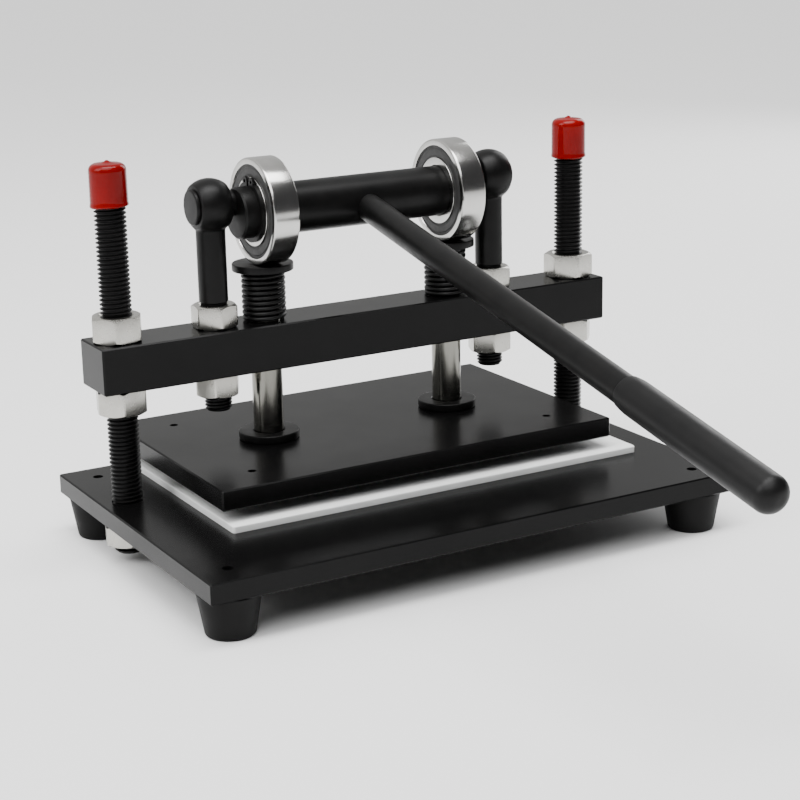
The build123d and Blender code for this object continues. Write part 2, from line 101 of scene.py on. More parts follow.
def extent(node):
    low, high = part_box(node)
    return high - low


shaft_centre = middle("camshaft")
shaft_centre.y = middle("bearing_outer_ring_left").y
shaft_centre.z = middle("bearing_outer_ring_left").z


# ---- camera, light and floor --------------------------------------------------------
def set_camera():
    lens = bpy.data.cameras.new("press_camera")
    lens.sensor_width = 36.0
    lens.lens = 84.6
    camera = bpy.data.objects.new("press_camera", lens)
    camera.location = (-0.52676, -0.82208, 0.38066)
    camera.rotation_euler = Euler((radians(74.379), radians(1.149), radians(-30.019)))
    scene.collection.objects.link(camera)
    scene.camera = camera


def softbox(name, place, target, width, height, power):
    light = bpy.data.lights.new(name, "AREA")
    light.shape = "RECTANGLE"
    light.size, light.size_y = width, height
    light.energy = power
    lamp = bpy.data.objects.new(name, light)
    lamp.location = place
    lamp.rotation_euler = (Vector(target) - Vector(place)).to_track_quat("-Z", "Y").to_euler()
    scene.collection.objects.link(lamp)


def light_room():
    """Pale room whose light falls off towards the front, with three soft boxes."""
    world = bpy.data.worlds.new("studio")
    scene.world = world
    world.use_nodes = True
    nodes, links = world.node_tree.nodes, world.node_tree.links
    nodes.clear()
    out = nodes.new("ShaderNodeOutputWorld")
    back = nodes.new("ShaderNodeBackground")
    where = nodes.new("ShaderNodeTexCoord")
    facing = nodes.new("ShaderNodeVectorMath")
    facing.operation = "DOT_PRODUCT"
    facing.inputs[1].default_value = (-0.35, 0.75, 0.56)
    shade = nodes.new("ShaderNodeValToRGB")
    shade.color_ramp.elements[0].position = 0.0
    shade.color_ramp.elements[0].color = (0.06, 0.06, 0.062, 1)
    shade.color_ramp.elements[1].position = 0.85
    shade.color_ramp.elements[1].color = (0.95, 0.95, 0.94, 1)
    links.new(where.outputs["Generated"], facing.inputs[0])
    links.new(facing.outputs["Value"], shade.inputs["Fac"])
    links.new(shade.outputs["Color"], back.inputs["Color"])
    links.new(back.outputs["Background"], out.inputs["Surface"])
    back.inputs["Strength"].default_value = 1.0

    softbox("key_box", (-1.6, 0.1, 1.2), (0, 0.1, 0.1), 1.0, 1.1, 20)
    softbox("top_box", (0.0, -0.1, 1.7), (0, 0.1, 0.1), 1.5, 0.6, 26)
    softbox("rim_box", (1.5, 0.9, 0.9), (0, 0.1, 0.12), 0.8, 1.2, 12)
    sun = bpy.data.lights.new("sky_fill", "SUN")
    sun.energy = 3.4
    sun.angle = radians(60)
    lamp = bpy.data.objects.new("sky_fill", sun)
    lamp.rotation_euler = (radians(20), radians(-15), 0)
    scene.collection.objects.link(lamp)


def lay_floor():
    reach = 30
    corners = [(-reach, -reach, 0), (reach, -reach, 0), (reach, reach, 0), (-reach, reach, 0)]
    mesh = bpy.data.meshes.new("floor")
    mesh.from_pydata(corners, [], [(0, 1, 2, 3)])
    floor = bpy.data.objects.new("floor", mesh)
    scene.collection.objects.link(floor)
    paint = bpy.data.materials.new("pale_floor")
    paint.use_nodes = True
    surface = paint.node_tree.nodes["Principled BSDF"]
    surface.inputs["Base Color"].default_value = (0.86, 0.86, 0.86, 1)
    surface.inputs["Roughness"].default_value = 0.9
    surface.inputs["Specular IOR Level"].default_value = 0.1
    mesh.materials.append(paint)


# ---- shared surface effects ---------------------------------------------------------
def node_group(name, inputs, outputs):
    tree = bpy.data.node_groups.new(name, "ShaderNodeTree")
    for label, kind, value in inputs:
        socket = tree.interface.new_socket(name=label, in_out="INPUT", socket_type=kind)
        socket.default_value = value
    for label, kind in outputs:
        tree.interface.new_socket(name=label, in_out="OUTPUT", socket_type=kind)
    return tree, tree.nodes.new("NodeGroupInput"), tree.nodes.new("NodeGroupOutput")


def mottle_group():
    """A value that wanders between Low and High in soft patches; Stretch draws the patches out."""
    tree, inside, outside = node_group(
        "mottle",
        [("Stretch", "NodeSocketVector", (1, 1, 1)), ("Scale", "NodeSocketFloat", 100.0),
         ("Low", "NodeSocketFloat", 0.0), ("High", "NodeSocketFloat", 1.0)],
        [("Value", "NodeSocketFloat")],
    )
    nodes, links = tree.nodes, tree.links
    where = nodes.new("ShaderNodeTexCoord")
    stretch = nodes.new("ShaderNodeVectorMath")
    stretch.operation = "MULTIPLY"
    noise = nodes.new("ShaderNodeTexNoise")
    noise.inputs["Detail"].default_value = 4.0
    noise.inputs["Roughness"].default_value = 0.6
    spread = nodes.new("ShaderNodeMapRange")
    spread.inputs["From Min"].default_value = 0.3
    spread.inputs["From Max"].default_value = 0.7
    links.new(where.outputs["Object"], stretch.inputs[0])
    links.new(inside.outputs["Stretch"], stretch.inputs[1])
    links.new(stretch.outputs["Vector"], noise.inputs["Vector"])
    links.new(inside.outputs["Scale"], noise.inputs["Scale"])
    links.new(noise.outputs["Fac"], spread.inputs["Value"])
    links.new(inside.outputs["Low"], spread.inputs["To Min"])
    links.new(inside.outputs["High"], spread.inputs["To Max"])
    links.new(spread.outputs["Result"], outside.inputs["Value"])
    return tree


def edge_wear_and_painted_light_group():
    """A mask that is 1 on edges and corners, broken up by grain, and 0 on flat faces; it carries worn edges
    and also painted highlight and painted shade along edges.
    """
    tree, inside, outside = node_group(
        "edge_wear_and_painted_light",
        [("Width", "NodeSocketFloat", 0.0006), ("Grain", "NodeSocketFloat", 900.0),
         ("Amount", "NodeSocketFloat", 1.0)],
        [("Mask", "NodeSocketFloat")],
    )
    nodes, links = tree.nodes, tree.links
    soft = nodes.new("ShaderNodeBevel")
    soft.samples = 4
    hard = nodes.new("ShaderNodeNewGeometry")
    match = nodes.new("ShaderNodeVectorMath")
    match.operation = "DOT_PRODUCT"
    lift = nodes.new("ShaderNodeMapRange")
    lift.inputs["From Min"].default_value = 0.995
    lift.inputs["From Max"].default_value = 0.93
    where = nodes.new("ShaderNodeTexCoord")
    grain = nodes.new("ShaderNodeTexNoise")
    grain.inputs["Detail"].default_value = 3.0
    patch = nodes.new("ShaderNodeMapRange")
    patch.inputs["From Min"].default_value = 0.35
    patch.inputs["From Max"].default_value = 0.6
    broken = nodes.new("ShaderNodeMath")
    broken.operation = "MULTIPLY"
    scaled = nodes.new("ShaderNodeMath")
    scaled.operation = "MULTIPLY"
    links.new(inside.outputs["Width"], soft.inputs["Radius"])
    links.new(soft.outputs["Normal"], match.inputs[0])
    links.new(hard.outputs["Normal"], match.inputs[1])
    links.new(match.outputs["Value"], lift.inputs["Value"])
    links.new(where.outputs["Object"], grain.inputs["Vector"])
    links.new(inside.outputs["Grain"], grain.inputs["Scale"])
    links.new(grain.outputs["Fac"], patch.inputs["Value"])
    links.new(lift.outputs["Result"], broken.inputs[0])
    links.new(patch.outputs["Result"], broken.inputs[1])
    links.new(broken.outputs["Value"], scaled.inputs[0])
    links.new(inside.outputs["Amount"], scaled.inputs[1])
    links.new(scaled.outputs["Value"], outside.inputs["Mask"])
    return tree


MOTTLE = mottle_group()
EDGE_WEAR_AND_PAINTED_LIGHT = edge_wear_and_painted_light_group()


class Finish:
    """One material: a Principled surface with shared effects placed on its colour, roughness and relief."""

    def __init__(self, name, **constants):
        self.material = bpy.data.materials.new(name)
        self.material.use_nodes = True
        self.nodes = self.material.node_tree.nodes
        self.links = self.material.node_tree.links
        self.surface = self.nodes["Principled BSDF"]
        for label, value in constants.items():
            self.surface.inputs[label.replace("_", " ")].default_value = value
        self.colour = None
        self.relief = None

    def effect(self, group, **values):
        node = self.nodes.new("ShaderNodeGroup")
        node.node_tree = group
        for label, value in values.items():
            node.inputs[label].default_value = value
        return node

    def mix_colour(self, factor, colour):
        """Lays a colour over what is there already, as far as factor says."""
        mix = self.nodes.new("ShaderNodeMix")
        mix.data_type = "RGBA"
        mix.inputs["B"].default_value = (*colour, 1)
        if self.colour:
            self.links.new(self.colour.outputs["Result"], mix.inputs["A"])
        self.links.new(factor, mix.inputs["Factor"])
        self.links.new(mix.outputs["Result"], self.surface.inputs["Base Color"])
        self.colour = mix
        return mix

    def vary_colour(self, dark, light, scale, stretch=(1, 1, 1)):
        patch = self.effect(MOTTLE, Scale=scale, Stretch=stretch)
        mix = self.mix_colour(patch.outputs["Value"], light)
        mix.inputs["A"].default_value = (*dark, 1)

    def vary_roughness(self, low, high, scale, stretch=(1, 1, 1)):
        patch = self.effect(MOTTLE, Scale=scale, Stretch=stretch, Low=low, High=high)
        self.links.new(patch.outputs["Value"], self.surface.inputs["Roughness"])

    def add_relief(self, height, scale, stretch=(1, 1, 1), strength=1.0):
        """height is in metres from trough to crest."""
        patch = self.effect(MOTTLE, Scale=scale, Stretch=stretch)
        bump = self.nodes.new("ShaderNodeBump")
        bump.inputs["Distance"].default_value = height
        bump.inputs["Strength"].default_value = strength
        self.links.new(patch.outputs["Value"], bump.inputs["Height"])
        if self.relief:
            self.links.new(self.relief.outputs["Normal"], bump.inputs["Normal"])
        self.links.new(bump.outputs["Normal"], self.surface.inputs["Normal"])
        self.relief = bump

    def paint_edge_wear_and_light(self, colour, width, grain, amount):
        # Lays a colour along edges: worn edges on black steel, partly a painted highlight on the plates,
        # painted shade on the zinc nuts.
        edge_paint = self.effect(EDGE_WEAR_AND_PAINTED_LIGHT, Width=width, Grain=grain, Amount=amount)
        self.mix_colour(edge_paint.outputs["Mask"], colour)


def make_finishes():
    plate = Finish("satin_black_plate", Specular_IOR_Level=0.12)
    plate.vary_colour((0.0018, 0.0018, 0.0019), (0.0032, 0.0031, 0.0031), 30)
    plate.vary_roughness(0.23, 0.27, 45)
    plate.add_relief(0.000004, 1100)
    # Lighter edges: partly rubbed paint, partly a painted highlight along the front top edges.
    plate.paint_edge_wear_and_light((0.05, 0.049, 0.048), 0.0004, 40, 0.1)

    steel = Finish("black_oxide_steel", Specular_IOR_Level=0.14)
    steel.vary_colour((0.002, 0.002, 0.0021), (0.0045, 0.0043, 0.0042), 90)
    steel.vary_roughness(0.32, 0.42, 120)
    steel.add_relief(0.000008, 900)
    steel.paint_edge_wear_and_light((0.04, 0.039, 0.038), 0.0004, 150, 0.18)

    zinc = Finish("zinc_plating", Metallic=1.0)
    zinc.vary_colour((0.40, 0.392, 0.362), (0.47, 0.462, 0.43), 60)
    zinc.vary_roughness(0.24, 0.30, 90)
    zinc.add_relief(0.00001, 110)
    # Darker corners and chamfer edges: painted shade of the corner lines, broken up by grain.
    zinc.paint_edge_wear_and_light((0.09, 0.088, 0.08), 0.00035, 60, 0.6)

    bearing = Finish("ground_bearing_steel", Metallic=1.0)
    bearing.vary_colour((0.50, 0.494, 0.478), (0.59, 0.584, 0.567), 60)
    bearing.vary_roughness(0.15, 0.21, 900, (6, 0.3, 0.3))
    bearing.add_relief(0.000002, 1500, (4, 0.2, 0.2))

    cage = Finish("pressed_cage_steel", Metallic=1.0)
    cage.vary_colour((0.42, 0.41, 0.4), (0.55, 0.54, 0.52), 200)
    cage.vary_roughness(0.3, 0.45, 300)

    chrome = Finish("hard_chrome", Metallic=1.0)
    chrome.vary_colour((0.17, 0.167, 0.148), (0.23, 0.226, 0.205), 40, (1, 1, 0.2))
    chrome.vary_roughness(0.16, 0.22, 500, (1, 1, 0.15))
    chrome.add_relief(0.000002, 900, (1, 1, 0.1))

    seal = Finish("seal_rubber_face", Specular_IOR_Level=0.3)
    seal.vary_colour((0.018, 0.018, 0.018), (0.028, 0.0275, 0.027), 180)
    seal.vary_roughness(0.4, 0.55, 250)
    seal.add_relief(0.00001, 800)

    rubber = Finish("moulded_rubber", Specular_IOR_Level=0.11)
    rubber.vary_colour((0.0035, 0.0035, 0.0035), (0.006, 0.0059, 0.0058), 80)
    rubber.vary_roughness(0.45, 0.6, 160)
    rubber.add_relief(0.00002, 1100)

    vinyl = Finish("dipped_red_vinyl", Specular_IOR_Level=0.16)
    vinyl.vary_colour((0.13, 0.0, 0.0), (0.19, 0.0, 0.0001), 60)
    vinyl.vary_roughness(0.11, 0.17, 140)
    vinyl.add_relief(0.00004, 60, (1, 1, 0.5))

    spring = Finish("oiled_spring_steel", Specular_IOR_Level=0.2)
    spring.vary_colour((0.003, 0.003, 0.0032), (0.006, 0.0058, 0.0056), 200)
    spring.vary_roughness(0.33, 0.42, 300)
    spring.add_relief(0.000002, 900)

    grip = Finish("grip_sleeve_plastic", Specular_IOR_Level=0.17)
    grip.vary_colour((0.003, 0.003, 0.0032), (0.0055, 0.0053, 0.0053), 70)
    grip.vary_roughness(0.36, 0.44, 150)
    grip.add_relief(0.000012, 900)
    grip.add_relief(0.00003, 60, (1, 0.3, 1), 0.6)

    board = Finish("white_polyethylene", Specular_IOR_Level=0.4)
    board.vary_colour((0.80, 0.81, 0.80), (0.87, 0.88, 0.87), 30)
    board.vary_roughness(0.4, 0.56, 120)
    board.add_relief(0.00003, 400)
    board.add_relief(0.00004, 700, (1, 1, 6), 0.6)
    board.surface.inputs["Subsurface Weight"].default_value = 0.3
    board.surface.inputs["Subsurface Radius"].default_value = (0.004, 0.004, 0.004)
    board.surface.inputs["Subsurface Scale"].default_value = 1.0

    return {
        "black_plate": plate, "black_steel": steel, "zinc_steel": zinc, "bearing_steel": bearing,
        "cage_steel": cage, "chrome_rod": chrome, "seal_rubber": seal, "foot_rubber": rubber,
        "red_vinyl": vinyl, "spring_steel": spring, "grip_plastic": grip, "white_board": board,
    }


FINISHES = {slot: finish.material for slot, finish in make_finishes().items()}


def finish_cad_nodes():
    """Every CAD node takes its slot's material; pieces made below hide the ones they stand for."""
    for subpart in frame["record"]["subparts"]:
        node = frame["nodes"][subpart["node"]]
        material = FINISHES[subpart["material_slot"]]
        node.data.materials.clear()
        node.data.materials.append(material)


# ---- mesh tools ---------------------------------------------------------------------
def piece(name, verts, faces, body, slot, stands_for=(), crease=35):
    mesh = bpy.data.meshes.new(name)
    mesh.from_pydata([tuple(v) for v in verts], [], faces)
    bm = bmesh.new()
    bm.from_mesh(mesh)
    bmesh.ops.remove_doubles(bm, verts=bm.verts, dist=1e-7)
    open_edges = [e for e in bm.edges if e.is_boundary]
    if open_edges:
        bmesh.ops.holes_fill(bm, edges=open_edges)
    bmesh.ops.recalc_face_normals(bm, faces=bm.faces)
    bm.to_mesh(mesh)
    bm.free()
    mesh.materials.append(FINISHES[slot])
    for polygon in mesh.polygons:
        polygon.use_smooth = True
    mesh.set_sharp_from_angle(angle=radians(crease))
    thing = bpy.data.objects.new(name, mesh)
    scene.collection.objects.link(thing)
    if body:
        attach(thing, body)
    if stands_for:
        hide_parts(*stands_for)
    return thing


def skin(rows, around, closed=False):
    """Four-sided faces between rows of points that each go once around; closed joins last to first."""
    faces = []
    for row in range(rows if closed else rows - 1):
        here, there = row * around, (row + 1) % rows * around
        for k in range(around):
            n = (k + 1) % around
            faces.append((here + k, here + n, there + n, there + k))
    return faces


def softened(outline, radii, closed=False, steps=4):
    """The outline with its corners rounded off, each by its own radius."""
    count = len(outline)
    rounded = []
    for i, corner in enumerate(outline):
        if radii[i] <= 0 or (not closed and i in (0, count - 1)):
            rounded.append(tuple(corner))
            continue
        here = Vector(corner)
        before, after = Vector(outline[i - 1]), Vector(outline[(i + 1) % count])
        start = here + (before - here) * min(0.5, radii[i] / (before - here).length)
        end = here + (after - here) * min(0.5, radii[i] / (after - here).length)
        for k in range(steps + 1):
            t = k / steps
            rounded.append(tuple((1 - t) ** 2 * start + 2 * t * (1 - t) * here + t * t * end))
    return rounded


def turned(name, outline, base, along, body, slot, stands_for=(), closed=False, around=96, crease=35):
    """A lathe-turned piece. outline holds (height, radius) pairs about the line through base."""
    turn = Vector((0, 0, 1)).rotation_difference(Vector(along)).to_matrix()
    verts = []
    for height, radius in outline:
        for k in range(around):
            a = 2 * pi * k / around
            verts.append(Vector(base) + turn @ Vector((radius * cos(a), radius * sin(a), height)))
    return piece(name, verts, skin(len(outline), around, closed), body, slot, stands_for, crease)


def threaded_rod(name, place, low, high, radius, pitch, body, stands_for, around=48, chamfer=None):
    """A right-hand screw thread, its rows of points following the helix, with chamfered ends."""
    depth = 0.6134 * pitch  # metric thread depth
    chamfer = chamfer or depth
    profile = ((0.0, 0.0), (0.125, 0.0), (0.4375, 1.0), (0.6875, 1.0))  # crest, flank and root, in pitches
    spare_turns = 4
    turns = int((high - low) / pitch) + spare_turns
    verts, rows = [], turns * len(profile)
    for row in range(rows):
        part, cut = profile[row % len(profile)]
        for k in range(around):
            z = low + pitch * (row // len(profile) - spare_turns // 2 + part + k / around)
            r = radius - depth * cut
            z = min(max(z, low), high)
            r = min(r, radius - chamfer + min(z - low, high - z))
            a = 2 * pi * k / around
            verts.append((place.x + r * cos(a), place.y + r * sin(a), z))
    faces = []
    for row in range(rows - 1):
        for k in range(around):
            n, lift = (k + 1, 0) if k + 1 < around else (0, len(profile))
            if row + 1 + lift >= rows:
                continue
            low_row, low_next = row * around, (row + lift) * around
            faces.append((low_row + k, low_next + n, low_next + around + n, low_row + around + k))
    return piece(name, verts, faces, body, "black_steel", stands_for)


def hexagon_nut(name, node, body, turn):
    """A hexagon nut with softly rounded corners, turned end chamfers and a countersunk bore."""
    low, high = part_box(node)
    flats = high.y - low.y
    bore = flats / 3
    centre = (low + high) / 2
    around = 144
    face_radius = flats / 2 * 0.97
    sink = 1.1 * MM
    sharpness = 64  # the higher, the less the six corners are rounded
    chamfer_slope = 0.62

    def wall(a):
        total = sum(abs(cos(a - turn - radians(30 + 60 * k))) ** sharpness for k in range(3))
        return flats / 2 / total ** (1 / sharpness)

    def chamfer_drop(a):
        return max(0.12 * MM, (wall(a) - face_radius) * chamfer_slope)

    rings = []
    angles = [2 * pi * k / around for k in range(around)]
    rings.append([(bore, low.z + sink) for a in angles])
    rings.append([(bore + sink, low.z) for a in angles])
    rings.append([(min(wall(a), face_radius) - 0.15 * MM, low.z) for a in angles])
    rings.append([(min(wall(a), face_radius), low.z + 0.05 * MM) for a in angles])
    rings.append([(wall(a) - 0.05 * MM, low.z + chamfer_drop(a)) for a in angles])
    rings.append([(wall(a), low.z + chamfer_drop(a) + 0.25 * MM) for a in angles])
    rings += [[(r, low.z + high.z - z) for r, z in ring] for ring in reversed(rings)]
    verts = [
        (centre.x + r * cos(a), centre.y + r * sin(a), z)
        for ring in rings for a, (r, z) in zip(angles, ring)
    ]
    piece(name, verts, skin(len(rings), around, closed=True), body, "zinc_steel", (node,), crease=28)


# ---- columns, caps and nuts ---------------------------------------------------------
def make_column(side):
    low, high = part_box(f"column_{side}")
    centre = (low + high) / 2
    radius = (high.x - low.x) / 2
    threaded_rod(
        f"threaded_column_{side}", centre, low.z, high.z, radius, COLUMN_PITCH, "base", (f"column_{side}",),
    )


def make_cap(side):
    """A dipped vinyl cap: domed top with a drip, ribs of the thread showing faintly, a crooked hem."""
    low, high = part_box(f"cap_{side}")
    centre = (low + high) / 2
    radius = (high.x - low.x) / 2
    drip = 1.2 * MM
    wall = 1.85 * MM
    roof = 2.5 * MM
    shoulder = 4.4 * MM
    hem = 3 * MM
    dome_steps, wall_steps = 10, 22
    top = high.z - drip
    bore = radius - wall
    lean = 0.6 if side == "left" else -1.1
    around, rings = 72, []

    def ring(r, z, ripple=0.0, tilt=0.0):
        """ripple makes the ring wavy and tilt sets it askew."""
        points = []
        for k in range(around):
            a = 2 * pi * k / around
            wave = ripple * (sin(2 * a + lean) + 0.6 * sin(3 * a + 2 * lean) + 0.4 * sin(5 * a))
            bulged = r + wave * 0.35
            points.append((
                centre.x + bulged * cos(a),
                centre.y + bulged * sin(a),
                z + tilt * cos(a + lean) + wave,
            ))
        rings.append(points)

    ring(0.15 * MM, high.z)
    ring(0.7 * MM, high.z - 0.12 * MM)
    ring(1.6 * MM, high.z - 0.75 * MM)
    ring(2.8 * MM, top - 0.1 * MM)
    ring(radius - shoulder - 0.5 * MM, top - 0.35 * MM)
    for k in range(dome_steps + 1):
        a = pi / 2 * k / dome_steps
        out, up = (shoulder - 0.45 * MM) * sin(a), (shoulder - 0.5 * MM) * cos(a)
        ring(radius - shoulder + out, top - shoulder + up)
    length = top - low.z
    for k in range(1, wall_steps):
        t = k / wall_steps
        z = top - shoulder - t * (length - shoulder - hem)
        rib = 0.025 * MM * sin(2 * pi * (top - z) / COLUMN_PITCH)
        ring(radius - (0.45 - 0.1 * t) * MM + rib, z, 0.05 * MM * t)
    ring(radius - 0.2 * MM, low.z + 2.6 * MM, 0.14 * MM, 0.35 * MM)
    ring(radius - 0.05 * MM, low.z + 1.9 * MM, 0.18 * MM, 0.5 * MM)
    ring(radius - 0.1 * MM, low.z + 1.35 * MM, 0.18 * MM, 0.55 * MM)
    ring(radius - 0.75 * MM, low.z + 0.95 * MM, 0.17 * MM, 0.55 * MM)
    ring(bore + 0.05 * MM, low.z + 1.4 * MM, 0.1 * MM, 0.4 * MM)
    ring(bore, low.z + hem)
    ring(bore, top - roof - 0.3 * MM)
    ring(bore - 4 * MM, top - roof)
    verts = [point for points in rings for point in points]
    faces = skin(len(rings), around)
    piece(f"vinyl_cap_{side}", verts, faces, "base", "red_vinyl", (f"cap_{side}",), crease=60)


def make_nuts():
    """Each nut stands at its own angle, in degrees, as it was left by the spanner."""
    turns = {
        "base_nut_left": ("base", 12), "base_nut_right": ("base", -8),
        "column_lower_nut_left": ("beam", 14), "column_lower_nut_right": ("beam", -12),
        "column_upper_nut_left": ("beam", 7), "column_upper_nut_right": ("beam", 22),
        "eye_lower_nut_left": ("beam", 2), "eye_lower_nut_right": ("beam", 12),
        "eye_upper_nut_left": ("beam", 24), "eye_upper_nut_right": ("beam", 9),
    }
    for node, (body, turn) in turns.items():
        hexagon_nut(f"hex_{node}", node, body, radians(turn))


# ---- eye bolts ----------------------------------------------------------------------
def make_eye_bolt(side):
    node = f"eye_bolt_{side}"
    low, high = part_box(node)
    centre = (low + high) / 2
    half_width = (high.x - low.x) / 2
    ball = (high.y - low.y) / 2
    eye = Vector((centre.x, centre.y, high.z - ball))
    shank, thread, neck = EYE_BOLT_SHANK_RADIUS, EYE_BOLT_THREAD_RADIUS, 2.6 * MM

    reach = sqrt(ball**2 - half_width**2)
    inset, ball_steps = 0.5 * MM, 30
    rim = [
        (half_width - 0.18 * MM, reach + 0.05 * MM), (half_width, reach - 0.35 * MM),
        (half_width, EYE_BORE_RADIUS),
    ]
    outline = [(-h, r) for h, r in reversed(rim)]
    for k in range(ball_steps + 1):
        h = -half_width + inset + (2 * half_width - 2 * inset) * k / ball_steps
        outline.append((h, sqrt(ball**2 - h**2)))
    outline += rim
    turned(f"eye_{side}", outline, eye, (1, 0, 0), "beam", "black_steel", closed=True, around=80)

    tangent = sqrt((ball + neck) ** 2 - (shank + neck) ** 2)
    join = Vector((shank + neck, -tangent))
    end = join * (ball / join.length)
    outline = [(end.y + 1.5 * MM, end.x * 0.8), (end.y, end.x)]
    toward = (end - join).normalized()
    neck_steps = 8
    for k in range(1, neck_steps + 1):
        t = k / neck_steps
        arm = (toward * (1 - t) + Vector((-1, 0)) * t).normalized() * neck
        outline.append((join.y + arm.y, join.x + arm.x))
    nut_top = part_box(f"eye_upper_nut_{side}")[1].z
    plain_end = nut_top + 1.0 * MM - eye.z
    outline += [
        (plain_end + 0.8 * MM, shank), (plain_end, thread - 0.3 * MM),
        (plain_end - 8 * MM, thread - 0.9 * MM),
    ]
    turned(f"eye_shank_{side}", outline, eye, (0, 0, 1), "beam", "black_steel", around=64)
    threaded_rod(
        f"eye_thread_{side}", centre, low.z, nut_top + 0.6 * MM, thread, EYE_BOLT_PITCH, "beam", (node,),
        around=44, chamfer=1.4 * MM,
    )


# ---- camshaft, its bearings and the lever -------------------------------------------
def make_camshaft():
    pin_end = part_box("camshaft")[1].x
    groove_end = GROOVE_PLACE + GROOVE_WIDTH
    half = [
        (GROOVE_PLACE, SHAFT_RADIUS), (GROOVE_PLACE, SHAFT_RADIUS - GROOVE_DEPTH),
        (groove_end, SHAFT_RADIUS - GROOVE_DEPTH), (groove_end, SHAFT_RADIUS),
        (SHAFT_HALF_LENGTH - SHAFT_EDGE, SHAFT_RADIUS), (SHAFT_HALF_LENGTH, SHAFT_RADIUS - SHAFT_EDGE),
        (SHAFT_HALF_LENGTH, 2 * MM),
    ]
    outline = [(-h, r) for h, r in reversed(half)] + half
    turned("shaft", outline, shaft_centre, (1, 0, 0), "camshaft", "black_steel", ("camshaft",), around=128)
    pin_place = Vector((0, middle("pin_button_left").y, middle("pin_button_left").z))
    root, core = SHAFT_HALF_LENGTH - 1 * MM, 1 * MM
    for side, s in SIDES.items():
        pin = [(root, core), (root, PIN_RADIUS), (pin_end, PIN_RADIUS), (pin_end, core)]
        turned(f"offset_pin_{side}", pin, pin_place, (s, 0, 0), "camshaft", "black_steel", around=56)
        node = f"pin_button_{side}"
        low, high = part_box(node)
        r = (high.z - low.z) / 2
        face = high.x if s > 0 else -low.x
        crown = [(face - 1.75 * MM, r), (face - 0.05 * MM, r), (face, 0.5 * MM)]
        cap = [
            (face - 2 * MM, core), (face - 2 * MM, r - 0.25 * MM), (face - 1.8 * MM, r),
            *softened(crown, [0, 1.7 * MM, 0], steps=7),
        ]
        turned(f"end_button_{side}", cap, pin_place, (s, 0, 0), "camshaft", "black_steel", (node,), around=72)


def make_bearing(side):
    centre = middle(f"bearing_outer_ring_{side}")
    r_out = extent(f"bearing_outer_ring_{side}").z / 2
    half = extent(f"bearing_outer_ring_{side}").x / 2
    edge, lip = 1.3 * MM, 1.8 * MM
    land, race = OUTER_RING_LAND, OUTER_RING_RACE
    outer = [
        (-half, r_out), (half, r_out), (half, land + 0.25 * MM), (half - lip, land - 0.45 * MM),
        (half - lip, race), (-half + lip, race), (-half + lip, land - 0.45 * MM), (-half, land + 0.25 * MM),
    ]
    outer = softened(outer, [edge, edge, 0.25 * MM, 0, 0, 0, 0, 0.25 * MM], closed=True, steps=5)
    turned(
        f"outer_race_{side}", outer, centre, (1, 0, 0), f"bearing_{side}", "bearing_steel",
        (f"bearing_outer_ring_{side}",), closed=True, around=160, crease=32,
    )
    inner = [
        (-half, INNER_RING_RADIUS), (half, INNER_RING_RADIUS),
        (half, INNER_RING_BORE), (-half, INNER_RING_BORE),
    ]
    inner = softened(inner, [0.3 * MM, 0.3 * MM, 0.7 * MM, 0.7 * MM], closed=True, steps=4)
    turned(
        f"inner_race_{side}", inner, centre, (1, 0, 0), "camshaft", "bearing_steel",
        (f"bearing_inner_ring_{side}",), closed=True, around=128, crease=32,
    )
    deep, shallow = half - 1.7 * MM, half - 0.5 * MM
    sunk, rim = shallow - 0.35 * MM, shallow - 0.05 * MM
    seal_in, seal_out = INNER_RING_RADIUS + 0.15 * MM, OUTER_RING_LAND - 0.1 * MM
    seal = [
        (deep, seal_in), (sunk, seal_in), (sunk, seal_in + 0.85 * MM),
        (shallow, seal_in + 1.25 * MM), (shallow, seal_out - 1.75 * MM), (sunk, seal_out - 1.35 * MM),
        (sunk, seal_out - 0.75 * MM), (rim, seal_out - 0.45 * MM), (rim, seal_out), (deep, seal_out),
    ]
    soft = [0, 0.1 * MM, 0, 0.2 * MM, 0.2 * MM, 0, 0, 0.1 * MM, 0.1 * MM, 0]
    seal = softened(seal, soft, closed=True, steps=3)
    for face in (-1, 1):
        where = "inboard" if face * SIDES[side] < 0 else "outboard"
        stands_for = (f"bearing_seals_{side}",) if where == "outboard" else ()
        turned(
            f"seal_{where}_{side}", seal, centre, (face, 0, 0), f"bearing_{side}", "seal_rubber",
            stands_for, closed=True, around=128,
        )


def make_lever():
    along = Vector((0, -cos(LEVER_DROOP), -sin(LEVER_DROOP)))
    bar, grip, rounding = LEVER_BAR_RADIUS, GRIP_RADIUS, GRIP_END_ROUNDING
    end = LEVER_START + LEVER_LENGTH
    mouth, bar_end = end - GRIP_LENGTH, end - 6 * MM
    outline = softened(
        [(LEVER_START, CORE), (LEVER_START, bar), (bar_end, bar), (bar_end, CORE)],
        [0, 1.2 * MM, 0, 0], steps=5,
    )
    turned("lever_rod", outline, shaft_centre, along, "camshaft", "black_steel", ("lever_bar",), around=72)
    outline = softened(
        [(mouth + 0.8 * MM, bar + 0.02 * MM), (mouth, bar + 0.3 * MM), (mouth + 0.15 * MM, bar + 0.7 * MM),
         (mouth + 6.0 * MM, grip), (end - 50 * MM, grip)],
        [0, 0.2 * MM, 0.3 * MM, 2.5 * MM, 0], steps=6,
    )
    end_steps = 14
    for k in range(end_steps + 1):
        a = pi / 2 * k / end_steps
        outline.append((end - rounding + rounding * sin(a), grip - rounding + rounding * cos(a)))
    outline.append((end, 0.2 * MM))
    turned(
        "handle_sleeve", outline, shaft_centre, along, "camshaft", "grip_plastic", ("lever_grip",), around=96,
    )


